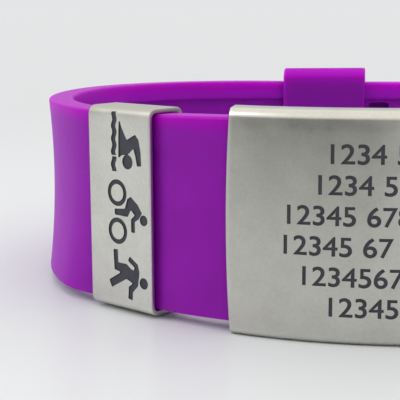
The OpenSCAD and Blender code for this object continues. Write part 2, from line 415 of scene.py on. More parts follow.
def slots_tree():
    """Cuts a slot at each of a line of places. One of them, the closed one, is cut deeper."""
    t = Nodes("Row of slots")
    strap = t.take("Strap", "Geometry")
    places = t.take("Places", "Object")
    cutter = t.take("Cutter", "Object")
    closed = t.take("Closed slot", "Int", 3)
    deeper = t.take("Depth factor of the closed slot", "Float", 1.0)
    finish = t.take("Finish", "Material")
    is_closed = t.add("FunctionNodeCompare", {2: t.add("GeometryNodeInputIndex"), 3: closed},
                      data_type="INT", operation="EQUAL")
    factor = t.add("GeometryNodeSwitch", {"Switch": is_closed, "False": 1.0, "True": deeper},
                   input_type="FLOAT")
    turn = t.add("FunctionNodeAlignRotationToVector", {"Vector": t.named("out", "FLOAT_VECTOR")},
                 axis="Y", pivot_axis="Z")
    cutters = t.add("GeometryNodeInstanceOnPoints", {
        "Points": t.shape_of(places),
        "Instance": t.shape_of(cutter),
        "Rotation": turn,
        "Scale": t.joined(1.0, factor, 1.0),
    })
    t.give("Strap", "Geometry", t.dressed(t.real(t.cut(strap, t.real(cutters))), finish))
    return t.tree


def digits_tree(rows):
    """Engraves rows of plain digits, centred on the curved face of a plate that keeps its own finish."""
    t = Nodes("Engraved digits")
    plate = t.take("Plate", "Geometry")
    size = t.take("Digit size", "Float", 2.4 * MM)
    weight = t.take("Digit weight", "Float", 0.03 * MM)
    stretch = t.take("Digit stretch", "Float", 1.0)
    top = t.take("Top row height", "Float", 15 * MM)
    pitch = t.take("Row pitch", "Float", 2.6 * MM)
    depth = t.take("Engraving depth", "Float", 0.1 * MM)
    radius = t.take("Face radius", "Float", 30 * MM)
    front = t.take("Face front", "Float", 0.0)
    finish = t.take("Engraved finish", "Material")
    lines = []
    for i in range(rows):
        text = t.take(f"Row {i + 1}", "String", "0123456789")
        drawn = t.add("GeometryNodeStringToCurves", {"String": text, "Size": size}, align_x="CENTER")
        height = t.math("SUBTRACT", top, t.math("MULTIPLY", pitch, float(i)))
        flat = t.add("GeometryNodeResampleCurve", {"Curve": t.real(drawn)}, mode="EVALUATED")
        outwards = t.vector("CROSS_PRODUCT", t.add("GeometryNodeInputTangent"), UP)
        outwards = t.vector("MULTIPLY_ADD", outwards, t.joined(weight, weight), t.joined(0.0, height))
        lines.append(t.moved(flat, Offset=outwards))
    face = t.add("GeometryNodeFillCurve", {"Curve": t.add("GeometryNodeJoinGeometry", {"Geometry": lines})},
                 mode="NGONS")
    walls = t.add("GeometryNodeExtrudeMesh", {
        "Mesh": face, "Individual": False, "Offset Scale": t.math("MULTIPLY", depth, 2.0)})
    base = t.add("GeometryNodeFlipFaces", {"Mesh": face})
    solid = t.add("GeometryNodeMergeByDistance", {
        "Geometry": t.add("GeometryNodeJoinGeometry", {"Geometry": [walls, base]}),
        "Distance": NEAR,
    })
    x, y, z = t.split(t.add("GeometryNodeInputPosition"))
    angle = t.math("DIVIDE", t.math("MULTIPLY", x, stretch), radius)
    reach = t.math("ADD", t.math("SUBTRACT", radius, depth), z)
    across = t.math("MULTIPLY", reach, t.math("SINE", angle))
    ahead = t.math("MULTIPLY", reach, t.math("COSINE", angle))
    bent = t.joined(across, t.math("SUBTRACT", t.math("ADD", front, radius), ahead), y)
    cutter = t.dressed(t.moved(solid, Position=bent), finish)
    t.give("Plate", "Geometry", t.real(t.cut(plate, cutter)))
    return t.tree


def add_nodes(piece, tree, **values):
    """Adds a Geometry Nodes modifier, with its inputs set by the names that the tree gives them."""
    modifier = piece.modifiers.new(tree.name, "NODES")
    modifier.node_group = tree
    for item in tree.interface.items_tree:
        if item.in_out == "INPUT" and item.name in values:
            modifier[item.identifier] = values[item.name]


def add_bevel(piece, width, segments=2, angle=50):
    modifier = piece.modifiers.new("Soft edges", "BEVEL")
    modifier.width, modifier.segments = width, segments
    modifier.limit_method, modifier.angle_limit = "ANGLE", math.radians(angle)
    modifier.use_clamp_overlap = False


def add_boolean(piece, name, other, operation):
    modifier = piece.modifiers.new(name, "BOOLEAN")
    modifier.object, modifier.solver, modifier.operation = other, "EXACT", operation
    return modifier


# Finishes

# Colours that light takes on as it passes through the silicone
GLOW = (1.0, 0.05, 0.6)
# Distance from the middle over which the painted back glow and the painted rim glow grow to full towards the
# back
BACK_GLOW_FADE = 20 * MM
# Depths below the silicone's upper edge where the painted back glow starts and is full, where the painted
# edge glow is full, and where the lighter painted rim glow ends and is full
BACK_START, BACK_FULL = 2.7 * MM, 1.4 * MM
EDGE_FULL = 0.6 * MM
RIM_END, RIM_FULL = 0.1 * MM, 0.45 * MM
# Least share of the painted back glow below its start and of the painted rim glow at the front, and how much
# lighter the painted rim glow is
LEAST, RIM_GLOW = 0.3, 1.4
# How much darker a fold that faces the light is painted, as painted shade, and how much rougher it is, and
# the depths where that starts and is full
FOLD_PAINTED_SHADE, FOLD_ROUGHER = 0.68, 0.2
FOLD_START, FOLD_FULL = 0.85 * MM, 0.55 * MM
# How much brighter the slider's steel is than the plate's
SLIDER_SHADE = 1.15


def speckle_group():
    """Fine grain and broad mottling, for any finish."""
    if "Grain and mottling" in bpy.data.node_groups:
        return bpy.data.node_groups["Grain and mottling"]
    t = Nodes("Grain and mottling", "ShaderNodeTree")
    place = t.take("Vector", "Vector")
    fine = t.take("Grain scale", "Float", 4000.0)
    broad = t.take("Mottling scale", "Float", 200.0)
    grain = t.add("ShaderNodeTexNoise", {"Vector": place, "Scale": fine, "Detail": 3.0, "Roughness": 0.6})
    patches = t.add("ShaderNodeTexNoise", {"Vector": place, "Scale": broad, "Detail": 1.5, "Roughness": 0.5})
    t.give("Grain", "Float", grain)
    t.give("Mottling", "Float", patches)
    return t.tree


def new_material(name, kind="BSDF_PRINCIPLED"):
    """A node material, its node of a kind, and a Nodes helper on its tree."""
    made = bpy.data.materials.new(name)
    made.use_nodes = True
    node = next(n for n in made.node_tree.nodes if n.type == kind)
    return made, node, Nodes(name, tree=made.node_tree)


def speckle(t, fine, broad):
    """Grain and mottling in a material, on Object coordinates, with their scales."""
    grain = t.add("ShaderNodeGroup", {
        "Vector": t.add("ShaderNodeTexCoord", output="Object"),
        "Grain scale": fine,
        "Mottling scale": broad,
    }, "Grain", node_tree=speckle_group())
    return grain, grain.node.outputs["Mottling"]


def bump(t, height, distance):
    return t.add("ShaderNodeBump", {"Height": height, "Distance": distance, "Strength": 0.5})


def shade(colour, factor):
    return tuple(min(1.0, c * factor) for c in colour)


def varied(t, mask, colour, dark, light):
    """Colour that a mask takes from dark times to light times itself."""
    return t.blend(t.ramp(mask, 0.0, 1.0), shade(colour, dark), shade(colour, light))


def silicone(name, colour, edge_glow_colour, back_glow_colour, top, glow_depth):
    """Satin silicone that lets light through. top is the height of its upper edge. From a given depth below
    that it takes on a painted edge glow, and towards the back a painted back glow, most of all near that
    edge."""
    made, shader, t = new_material(name)
    grain, mottling = speckle(t, 5200.0, 240.0)
    x, y, z = t.place()
    # Painted light: towards the back, most of all near the upper edge, the colour turns to the lighter back
    # colour, a painted glow standing in for light through the back wall
    near_top = t.smooth_step(z, top - BACK_START, top - BACK_FULL, LEAST)
    lit = t.math("MULTIPLY", t.smooth_step(y, 0, BACK_GLOW_FADE), near_top)
    # Painted glow: under the upper edge the colour turns to the saturated edge colour, which stands in for
    # light passing through the thin edge
    edge = t.smooth_step(z, top - glow_depth, top - EDGE_FULL)
    # Painted highlight: a band just under the very top is lighter still, in full at the back and weaker at
    # the front
    rim = t.smooth_step(z, top - RIM_END, top - RIM_FULL)
    bright = t.math("MULTIPLY", t.smooth_step(y, 0, BACK_GLOW_FADE, LEAST), rim)
    plain = t.blend(lit, varied(t, mottling, colour, 0.93, 1.07), back_glow_colour)
    edge_glow_colour = t.blend(bright, edge_glow_colour, shade(edge_glow_colour, RIM_GLOW))
    t.feed(shader, {
        "Base Color": t.blend(edge, plain, edge_glow_colour),
        "Roughness": t.ramp(grain, 0.4, 0.52),
        "Normal": bump(t, grain, 0.006 * MM),
        "Subsurface Weight": 1.0,
        "Subsurface Radius": GLOW,
        "Subsurface Scale": 2.2 * MM,
        "Specular IOR Level": 0.15,
        "IOR": 1.42,
    })
    return made


def steel(name, colour, fold_top=None):
    """Satin steel with fine grain and faint mottling. A fold whose top is given gets painted shade, a darker
    colour, and is rougher.
    """
    made, shader, t = new_material(name)
    grain, mottling = speckle(t, 3600.0, 420.0)
    tone = t.math("MULTIPLY_ADD", grain, 0.5, t.math("MULTIPLY", mottling, 0.5))
    metal = varied(t, tone, colour, 0.86, 1.14)
    rough = t.ramp(mottling, 0.26, 0.34)
    if fold_top is not None:
        x, y, z = t.place()
        # Painted shade: the fold's colour is darkened where it catches the overhead light; its extra
        # roughness is real
        fold = t.smooth_step(z, fold_top - FOLD_START, fold_top - FOLD_FULL)
        metal = t.blend(fold, metal, shade(colour, FOLD_PAINTED_SHADE))
        rough = t.math("MULTIPLY_ADD", fold, FOLD_ROUGHER, rough)
    t.feed(shader, {
        "Base Color": metal,
        "Roughness": rough,
        "Normal": bump(t, grain, 0.002 * MM),
        "Metallic": 1.0,
    })
    return made


def engraved(name, colour):
    """Dark oxide in the engraved marks."""
    made, shader, t = new_material(name)
    grain, mottling = speckle(t, 6000.0, 900.0)
    t.feed(shader, {
        "Base Color": varied(t, mottling, colour, 0.8, 1.25),
        "Roughness": t.ramp(grain, 0.5, 0.7),
        "Normal": bump(t, grain, 0.004 * MM),
        "Metallic": 0.2,
    })
    return made


def material(name, make, *values):
    """The material of a name, which is made where there is none yet."""
    return bpy.data.materials.get(name) or make(name, *values)


# Settings

def length(name, description, default):
    return FloatProperty(name=name, description=description, default=default * MM, min=0, unit="LENGTH")


def angle(name, description, default):
    return FloatProperty(name=name, description=description, default=default, subtype="ANGLE")


def colour(name, description, default):
    return FloatVectorProperty(name=name, description=description, default=default, size=3, min=0, max=1,
                               subtype="COLOR")


class StrapSettings(bpy.types.PropertyGroup):
    width: length("Width", "Width of the strap, from edge to edge", 18.2)
    thickness: length("Thickness", "Thickness of the strap", 2.6)
    edge_radius: length("Edge radius", "Radius of the moulded edges", 0.3)
    tail_past: length("Tail", "How far the slotted end runs past the middle of the back", 19)
    head_past: length("Outer end", "How far the outer end runs past the middle of the back", 9.8)
    tail_narrower: length("Slotted end narrower by", "How much narrower the slotted end is", 0.5)
    head_narrower: length("Outer end narrower by", "How much narrower the outer end is", 0.9)
    layer_gap: length("Air between layers", "Air between the two layers at the back", 0.15)
    border_width: length("Border", "Width of the border on each side of the sunk channel", 2.25)
    channel_depth: length("Channel depth", "Depth of the sunk channel in the inner face", 0.5)
    slot_width: length("Slot width", "Width of a slot along the strap", 2.65)
    slot_height: length("Slot height", "Height of a slot across the strap", 12.6)
    slot_pitch: length("Slot pitch", "Distance from one slot to the next", 5.2)
    slot_right: length("Slot beside the keeper", "Its distance from the middle of the back", 1.7)
    slot_count: IntProperty(name="Slots", description="Number of slots", default=5, min=1)
    silicone: colour("Silicone", "Colour of the silicone", (0.25, 0.007, 0.365))
    # Painted glow: a lighter colour near the upper edge at the back stands in for light through the back wall
    painted_back_glow: colour("Silicone at the back", "Colour of the silicone near the upper edge, at the back",
                          (0.4, 0.009, 0.545))
    # Painted glow: the colour under the upper edge stands in for light passing through the thin edge
    painted_edge_glow: colour("Edge of the silicone", "Colour that the silicone takes on under its upper edge",
                          (0.29, 0.0, 0.37))


class KeeperSettings(bpy.types.PropertyGroup):
    width: length("Width", "Width of the keeper along the strap", 10.45)
    left: length("Place", "Distance of its middle from the middle of the back", 5.18)
    skew: angle("Skew", "How far its rims are off square, as it is pushed askew", math.radians(6))
    wall: length("Wall", "Thickness of the wall", 0.95)
    air: length("Air", "Air between the keeper and the strap's faces", 0.24)
    corner_radius: length("Corner radius", "Radius of the outer corners", 1.3)
    drop: length("Drop", "How much its top drops to the back", 0.35)
    edge_radius: length("Edge radius", "Radius of the rims", 0.28)


class PlateSettings(bpy.types.PropertyGroup):
    width: length("Width", "Width of the plate, straight across its corners", 28.5)
    height: length("Height", "Height of the plate", (PLATE_HIGH.z - PLATE_LOW.z) / MM)
    depth: length("Depth", "Depth of the plate over its folds", 3.9)
    sheet: length("Sheet", "Thickness of the steel sheet", 0.45)
    fold_radius: length("Fold radius", "Outside radius of the folds", 0.8)
    lip: length("Lips", "Height of the lips behind the plate", 4.5)
    bulge: length("End bulge", "How far the ends bulge at mid height", 0.38)
    end_growth: length("End growth", "How much longer the ends run at the back than on radii", 1.25)
    digit_height: length("Digit size", "Size of the engraved digits", 2.35)
    digit_stretch: FloatProperty(name="Digit stretch", description="How much wider the digits are drawn",
                                 default=1.1)
    digit_weight: length("Digit weight", "How much bolder the digits are on each side of a stroke", 0.04)
    row_pitch: length("Row pitch", "Distance from one row of digits to the next", 2.62)
    top_row: length("Top row", "Height of the foot of the top row", 15.65)
    engraving: length("Engraving", "Depth of the engraved digits", 0.08)
    rows: StringProperty(
        name="Rows", description="Rows of digits, with a bar between them",
        default="1234 56789|1234 567 890|12345 678 90 12 3|12345 67 890 1234|1234567 890 12|12345 6789")
    metal: colour("Steel", "Colour of the steel", (0.535, 0.529, 0.49))


class SliderSettings(bpy.types.PropertyGroup):
    width: length("Width", "Width of the slider along the strap", 8.1)
    height: length("Height", "Height of the slider", 19.2)
    depth: length("Depth", "Depth of the slider over its folds", 4.4)
    lift: length("Lift", "Height of its lower edge above the floor", 0.35)
    sheet: length("Sheet", "Thickness of the steel sheet", 0.45)
    fold_radius: length("Fold radius", "Outside radius of the folds", 0.8)
    lip: length("Lips", "Height of the lips behind the slider", 4)
    engraving: length("Engraving", "Depth of the engraved figures", 0.1)
    marks: colour("Marks", "Colour of the engraved marks", (0.038, 0.041, 0.053))


class ClosureSettings(bpy.types.PropertyGroup):
    bar: length("Bar", "Thickness of the bar in the slots", 1.9)
    bar_height: length("Bar height", "Height of the bar in the slots", 11.8)
    head_width: length("Head width", "Width of the head outside", 5.2)
    head_height: length("Head height", "Height of the head outside", 14)
    head: length("Head thickness", "Thickness of the head", 0.9)
    foot: length("Foot", "How far the foot reaches under the strap", 1.2)


class StageSettings(bpy.types.PropertyGroup):
    lens: FloatProperty(name="Lens", description="Focal length of the camera in millimetres", default=99)
    turn: angle("Camera turn", "Turn of the camera to the left", math.radians(5.55))
    tilt: angle("Camera tilt", "How far the camera looks down", math.radians(9.84))
    roll: angle("Camera roll", "Roll of the camera", -0.0065)
    floor: colour("Floor", "Colour of the floor", (0.672, 0.695, 0.73))
    gloss: FloatProperty(name="Floor gloss", description="Share of the floor that reflects", default=0.11,
                         min=0, max=1)
    backdrop: colour("Backdrop", "Colour that the camera sees behind", (0.775, 0.783, 0.802))
    around: colour("Surroundings", "Light from all round", (0.6, 0.61, 0.62))
    overhead: FloatVectorProperty(name="Overhead", description="Light from above", size=3,
                                  default=(1.36, 1.33, 1.26))
    flag: colour("Dark flag", "Colour of the dark card behind the camera", (0.25, 0.25, 0.25))
    left_light: FloatProperty(name="Left light", description="Strength of the light on the left", default=0.7)


SETTINGS = {
    "bracelet_strap": StrapSettings,
    "bracelet_keeper": KeeperSettings,
    "bracelet_plate": PlateSettings,
    "bracelet_slider": SliderSettings,
    "bracelet_closure": ClosureSettings,
    "bracelet_stage": StageSettings,
}


def line_of(scene):
    """Middle line of the strap, halfway through the depth of the plate."""
    return Loop(PLATE_LOW.y + scene.bracelet_plate.depth / 2)


# Pieces

# Forms of the strap that no setting changes, in millimetres along it. The outer end steps outwards
# over STEP_LENGTH, STEP_CLEAR before the tail's tip. The channel starts before the middle of the back
# and stops before the tail's tip. The slotted end narrows from before the keeper's middle.
STEP_LENGTH, STEP_CLEAR = 14, 1
CHANNEL_START, CHANNEL_STOP, CHANNEL_RAMP = 34, 4, 2
TAPER_START, TAPER_LENGTH = 14, 18
# Corner radii of both tips, and over what length and how much a tip gets thinner
HEAD_TIP, TAIL_TIP = 2.0, 7.0
TIP_LENGTH, TIP_THIN = 1.2, 0.4
# Places of stations in a tip, as shares of its corner radius, and the distance of the others
TIP_MARKS = (0, 0.01, 0.04, 0.08, 0.14, 0.22, 0.32, 0.44, 0.58, 0.75)
STATION_STEP = 0.9

# A quarter of the height over which the channel gets deep, and the points of half its bed
CHANNEL_SLOPE = 0.12 * MM
BED_POINTS = 7
# Corner radius of a slot, how far its cutter starts and ends clear of the strap, and how far it
# runs past the face where it isn't the closed one
SLOT_CORNER, SLOT_CLEAR, SLOT_PAST = 0.6 * MM, 1 * MM, 0.07 * MM

# Depth to which the strap's and the keeper's upper edges take on their painted edge glow
STRAP_GLOW_DEPTH, KEEPER_GLOW_DEPTH = 1.6 * MM, 2.6 * MM


def layer_of(strap):
    """Distance from one layer of the strap to the other, at the back."""
    return strap.thickness + strap.layer_gap


def back_middle(strap):
    """Height of the strap's middle at the back, as a vector."""
    return UP * (BACK_LIFT * MM + strap.width / 2)


def strap_profile(p):
    """Section of the strap, with the border and the bed of the channel in its inner face."""
    t, z = p.thickness / 2, p.width / 2
    edge = z - p.border_width
    outside = rounded_outline(box_corners(p.thickness, p.width, p.edge_radius), spacing=0.8 * MM, steps=6)
    # the inner face is drawn again, from its upper edge down, with the channel's two steps
    points = [q for q in outside if q.x > -t + NEAR]
    first = max(range(len(points)), key=lambda i: (points[i] - points[i - 1]).length)
    points = points[first:] + points[:first]
    inner = [(z - p.edge_radius, 0.0)]
    inner += [(edge + CHANNEL_SLOPE * (2 - k), f) for k, f in enumerate((0.0, 0.1, 0.5, 0.9, 1.0))]
    bed = edge - 2 * CHANNEL_SLOPE
    inner += [(bed * (1 - k / BED_POINTS), 1.0) for k in range(1, BED_POINTS + 1)]
    inner += [(-y, f) for y, f in reversed(inner[:-1])]
    points += [Vector((-t, y)) for y, f in inner]
    floor = [0.0] * (len(points) - len(inner)) + [f for y, f in inner]
    return profile("strap_section", points, floor)


def corner_loss(d, r):
    """How much a corner of radius r takes off a width, at the distance d from its end."""
    return r - math.sqrt(r * r - (r - d) ** 2) if d < r else 0.0


def strap_marks(start, stop):
    """Places of the strap's stations, which are close together in its tips."""
    run = stop - start - HEAD_TIP - TAIL_TIP
    count = math.ceil(run / STATION_STEP)
    marks = [start + t * HEAD_TIP for t in TIP_MARKS]
    marks += [start + HEAD_TIP + run * i / count for i in range(count + 1)]
    return marks + [stop - t * TAIL_TIP for t in reversed(TIP_MARKS)]


def strap_stations(p, keeper, loop):
    """Stations from the tip of the outer end, round the front, to the tip of the slotted end."""
    tail = p.tail_past / MM
    start, stop = -(loop.half + p.head_past / MM), loop.half + tail
    step_start = loop.half - tail - STEP_CLEAR - STEP_LENGTH
    channel_start, channel_stop = loop.half - CHANNEL_START, stop - CHANNEL_STOP
    keeper_place = loop.half - keeper.left / MM
    stations = []
    for s in strap_marks(start, stop):
        centre, out = loop.place(s)
        stepped = smooth((-s - step_start) / STEP_LENGTH)
        half = p.width / 2 - p.head_narrower / 2 * stepped
        half -= p.tail_narrower / 2 * smooth((s - keeper_place + TAPER_START) / TAPER_LENGTH)
        half -= (corner_loss(s - start, HEAD_TIP) + corner_loss(stop - s, TAIL_TIP)) * MM
        from_tip = min(1.0, min(s - start, stop - s) / TIP_LENGTH)
        lift = loop.column(s, LIFT, FRONT_LIFT) * MM + p.width / 2
        sunk = smooth((s - channel_start) / CHANNEL_RAMP) * smooth((channel_stop - s) / CHANNEL_RAMP)
        stations.append({
            "centre": centre + out * (layer_of(p) * stepped) + UP * lift, "out": out, "up": UP,
            "thick": 1 - TIP_THIN * MM * (1 - from_tip) ** 2 / (p.thickness / 2),
            "wide": half / (p.width / 2),
            "flare": loop.column(s, FLARE) * MM, "lean": loop.column(s, LEAN) * MM, "sunk": sunk,
        })
    return stations


def add_slots(source, p, loop, finish):
    """Cuts the row of slots outwards, the closed one through both layers. Returns its helper objects."""
    middle = (p.slot_count - 1) // 2
    slots = [loop.half + (p.slot_right + (i - middle) * p.slot_pitch) / MM for i in range(p.slot_count)]
    places = [loop.place(s) for s in slots]
    low, high = -p.thickness / 2 - SLOT_CLEAR, p.thickness / 2 + SLOT_PAST
    row = line_object("slot_places", [place + back_middle(p) + out * low for place, out in places], False,
                      {"out": [out for place, out in places]})
    outline = rounded_outline(box_corners(p.slot_width, p.slot_height, SLOT_CORNER))
    cutter = prisms("slot_cutter", [outline], lambda x, y, z: (x, z, y), 0, high - low)
    deepest = p.thickness / 2 + layer_of(p) + SLOT_CLEAR
    add_nodes(source, slots_tree(), **{
        "Places": row, "Cutter": cutter, "Closed slot": middle + 1, "Finish": finish,
        "Depth factor of the closed slot": (deepest - low) / (high - low)})
    return row, cutter


class BRACELET_OT_strap(bpy.types.Operator):
    """Builds the silicone strap, its channel and its slots"""
    bl_idname = "bracelet.strap"
    bl_label = "Strap"

    def execute(self, context):
        p = context.scene.bracelet_strap
        loop = line_of(context.scene)
        # The strap's silicone has painted glows under its upper edge and at the back
        finish = material("Silicone", silicone, p.silicone, p.painted_edge_glow, p.painted_back_glow,
                          BACK_LIFT * MM + p.width, STRAP_GLOW_DEPTH)
        source = rail("strap_rail", strap_stations(p, context.scene.bracelet_keeper, loop))
        section = strap_profile(p)
        add_nodes(source, sweep_tree(), **{
            "Section": section, "Channel depth": p.channel_depth, "Finish": finish})
        helpers = add_slots(source, p, loop, finish)
        finished(source, "silicone_strap", "strap", sharp=40,
                 helpers=(section, *helpers))
        return {"FINISHED"}


class BRACELET_OT_keeper(bpy.types.Operator):
    """Builds the keeper, a band round both layers at the back"""
    bl_idname = "bracelet.keeper"
    bl_label = "Keeper"

    def execute(self, context):
        p, strap = context.scene.bracelet_keeper, context.scene.bracelet_strap
        loop = line_of(context.scene)
        # The keeper gets the painted edge glow and the painted rim glow under its upper edge
        finish = material("Keeper silicone", silicone, strap.silicone, strap.painted_edge_glow, strap.silicone,
                          KEEPER_TOP, KEEPER_GLOW_DEPTH)
        place, out = loop.place(loop.half - p.left / MM)
        depth = strap.thickness + layer_of(strap) + 2 * p.air + 2 * p.wall
        x, r = depth / 2, p.corner_radius
        slope = p.drop / (2 * (x - r))
        front, back = [KEEPER_TOP - r + r * math.hypot(1, slope) - slope * run for run in (-r, depth - r)]
        spacing = 0.9 * MM
        outline = rounded_outline([(-x, 0, r), (x, 0, r), (x, back, r), (-x, front, r)], spacing, steps=8)
        middle = place + out * (layer_of(strap) / 2)
        along = out.cross(UP)
        skew = math.tan(p.skew)
        stations = []
        for i, q in enumerate(outline):
            run = outline[(i + 1) % len(outline)] - outline[i - 1]
            normal = Vector((run.y, -run.x)).normalized()
            stations.append({
                "centre": middle + (out + along * skew) * q.x + UP * q.y,
                "out": out * normal.x + UP * normal.y, "up": along})
        source = rail("keeper_rail", stations, closed=True)
        wall = rounded_outline(box_corners(p.wall, p.width, p.edge_radius), spacing)
        section = profile("keeper_section", [q - Vector((p.wall / 2, 0)) for q in wall])
        add_nodes(source, sweep_tree(), **{"Section": section, "Finish": finish})
        finished(source, "silicone_keeper", "keeper", sharp=50,
                 helpers=(section,))
        return {"FINISHED"}


# Corner radius of a lip's tip, as a share of the sheet
TIP_ROUND = 0.3
PLATE_STATIONS = 60


def sheet_profile(name, p):
    """Section of a folded sheet: its face at x = 0, and its folds and lips behind."""
    h, d, t = p.height / 2, p.depth, p.sheet
    tip, bend = t * TIP_ROUND, p.fold_radius - t
    outer = [(-d, h - p.lip, tip), (-d, h, p.fold_radius), (0, h, p.fold_radius)]
    inner = [(-t, h - t, bend), (-d + t, h - t, bend), (-d + t, h - p.lip, tip)]
    lower = [(x, -y, r) for x, y, r in reversed(inner + outer)]
    return profile(name, rounded_outline(outer + lower + inner, spacing=1.1 * MM))


class BRACELET_OT_plate(bpy.types.Operator):
    """Builds the curved id plate, with plain digits engraved in its face"""
    bl_idname = "bracelet.plate"
    bl_label = "Id plate"

    def execute(self, context):
        p = context.scene.bracelet_plate
        metal = material("Satin steel", steel, p.metal)
        dark = material("Engraved marks", engraved, context.scene.bracelet_slider.marks)
        curve = SECTIONS[PLATE_SECTION]
        radius = curve[LENGTH] / math.radians(curve[TURN]) * MM + p.depth / 2
        centre = Vector((0, PLATE_LOW.y + radius, p.height / 2))
        half_angle = math.asin(p.width / 2 / radius)
        stations = []
        for i in range(PLATE_STATIONS + 1):
            end = 2 * i / PLATE_STATIONS - 1
            a = end * half_angle
            out = Vector((-math.sin(a), -math.cos(a), 0))
            stations.append({"centre": centre + out * radius, "out": out, "up": UP, "end": end})
        source = rail("plate_rail", stations)
        section = sheet_profile("plate_section", p)
        add_nodes(source, sweep_tree(), **{
            "Section": section, "End bulge": p.bulge, "End growth at the back": p.end_growth,
            "Finish": metal})
        add_bevel(source, width=0.07 * MM)
        rows = p.rows.split("|")
        add_nodes(source, digits_tree(len(rows)), **{
            "Digit size": p.digit_height, "Digit weight": p.digit_weight, "Digit stretch": p.digit_stretch,
            "Top row height": p.top_row, "Row pitch": p.row_pitch, "Engraving depth": p.engraving,
            "Face radius": radius, "Face front": PLATE_LOW.y, "Engraved finish": dark,
            **{f"Row {i + 1}": text for i, text in enumerate(rows)}})
        finished(source, "steel_id_plate", "id_plate", sharp=30, helpers=(section,))
        return {"FINISHED"}


# Figures on the slider, in millimetres: to the right of its middle, and up from the floor.
# They read from top to bottom, so each figure's head points right.
SWIMMER = ((0.1, 18.6), (0.45, 17.7), (1.1, 16.6), (2.2, 17.15), (2.65, 16.7), (2.9, 15.5), (2.95, 14.3),
           (2.4, 14.25), (2.2, 15.15), (1.95, 15.85), (1.2, 15.2), (0.45, 15.15), (-0.05, 14.8), (0, 16.9))
CYCLIST = ((1.5, 11.35), (1.05, 11.1), (0.7, 10.15), (-0.7, 10), (-0.65, 9.45), (1.05, 9.4), (1.5, 10.1),
           (2, 9.65), (1.5, 9.25), (1.5, 8), (2, 8), (2, 9.05), (2.5, 9.35), (2.95, 9.95), (2.4, 10.7))
RUNNER = ((-0.95, 6.1), (-0.35, 6.15), (-0.3, 4.9), (0.8, 4.9), (1.4, 4.5), (1.75, 4.4), (1.85, 4.7),
          (1, 5.25), (1.25, 5.7), (2.3, 5.05), (2.5, 4.35), (2.3, 3), (1.6, 2.3), (1.55, 1.5), (0.95, 1.6),
          (1.05, 2.75), (1.6, 3.15), (0.75, 3.45), (-1.25, 2.35), (-1.6, 3.05), (0.05, 4), (-0.85, 4.15))
FIGURE_CORNER = 0.09
HEADS = ((1.15, 14.55, 0.68), (3.15, 9.3, 0.5), (3.05, 3.35, 0.54))
HEAD_POINTS = 28
WHEELS = ((-0.3, 11.55), (-0.3, 7.93))
WHEEL_RADIUS, WHEEL_RIM, WHEEL_STEPS = 1.26, 0.44, 20
# The two waves lie on one line, which leans to the left as it goes down, with a gap between them
WAVE_TOP, WAVE_FOOT, WAVE_BREAK, WAVE_GAP = 19.2, 13.55, 15, 0.12
WAVE_PLACE, WAVE_LEAN, WAVE_WIDTH = -0.53, 0.03, 0.6
# How far a wave swings, and how many radians of swing a millimetre has
WAVE_SWING, WAVE_RATE, WAVE_STEPS = 0.09, 5.2, 24
# How far the figures' cutter stands out of the slider's face
CUTTER_PROUD = 0.2 * MM


def on_circle(x, y, r, angles):
    return [(x + r * math.cos(a), y + r * math.sin(a)) for a in angles]


def wave_line(y):
    """Place of the middle of the waves at the height y."""
    return WAVE_PLACE - WAVE_LEAN * (WAVE_TOP - y) + WAVE_SWING * math.sin(y * WAVE_RATE)


def slider_figures():
    """Outlines of the swimmer, the cyclist and the runner, each without a hole."""
    outlines = []
    for figure in (SWIMMER, CYCLIST, RUNNER):
        outlines.append(rounded_outline([(x, y, FIGURE_CORNER) for x, y in figure], steps=3))
    for head in HEADS:
        outlines.append(on_circle(*head, [2 * math.pi * k / HEAD_POINTS for k in range(HEAD_POINTS)]))
    for x, y in WHEELS:
        for side in (0, 1):
            half = [math.pi * (k / WHEEL_STEPS + side) for k in range(WHEEL_STEPS + 1)]
            outlines.append(on_circle(x, y, WHEEL_RADIUS, half)
                            + on_circle(x, y, WHEEL_RADIUS - WHEEL_RIM, reversed(half)))
    half = WAVE_WIDTH / 2
    for top, foot in ((WAVE_TOP, WAVE_BREAK + WAVE_GAP / 2), (WAVE_BREAK - WAVE_GAP / 2, WAVE_FOOT)):
        ys = [top + (foot - top) * k / WAVE_STEPS for k in range(WAVE_STEPS + 1)]
        outlines.append([(wave_line(y) - half, y) for y in ys]
                        + [(wave_line(y) + half, y) for y in reversed(ys)])
    return outlines


class BRACELET_OT_slider(bpy.types.Operator):
    """Builds the flat steel slider, with its sports figures engraved"""
    bl_idname = "bracelet.slider"
    bl_label = "Slider"

    def execute(self, context):
        p = context.scene.bracelet_slider
        bright = shade(context.scene.bracelet_plate.metal, SLIDER_SHADE)
        # Its upper fold gets painted shade in the steel's colour
        metal = material("Bright satin steel", steel, bright, p.lift + p.height)
        dark = material("Engraved marks", engraved, p.marks)
        loop = line_of(context.scene)
        before, after = loop.ends[SLIDER_SECTION - 1], loop.ends[SLIDER_SECTION]
        place, out = loop.place((before + after) / 2)
        along = out.cross(UP)
        face = place + out * (p.depth / 2)
        middle = face + UP * (p.lift + p.height / 2)
        stations = [{"centre": middle + along * (p.width * t), "out": out, "up": UP, "end": 2 * t}
                    for t in (-0.5, -0.25, 0, 0.25, 0.5)]
        source = rail("slider_rail", stations)
        section = sheet_profile("slider_section", p)
        add_nodes(source, sweep_tree(), **{"Section": section, "Finish": metal})
        add_bevel(source, width=0.1 * MM, segments=3)

        def on_face(x, y, z):
            return face - along * (x * MM) + UP * (y * MM) + out * z

        cutter = prisms("figure_cutter", slider_figures(), on_face, -p.engraving, CUTTER_PROUD, dark)
        cut = add_boolean(source, "Figures", cutter, "DIFFERENCE")
        cut.use_self, cut.material_mode = True, "TRANSFER"
        finished(source, "steel_slider", "slider", sharp=30, helpers=(section, cutter))
        return {"FINISHED"}


# Corner radii of the closure's bar, foot and head, and its air to the strap
BAR_CORNER, FOOT_CORNER, HEAD_CORNER = 0.2 * MM, 0.15 * MM, 1.6 * MM
CLOSURE_AIR = 0.1 * MM


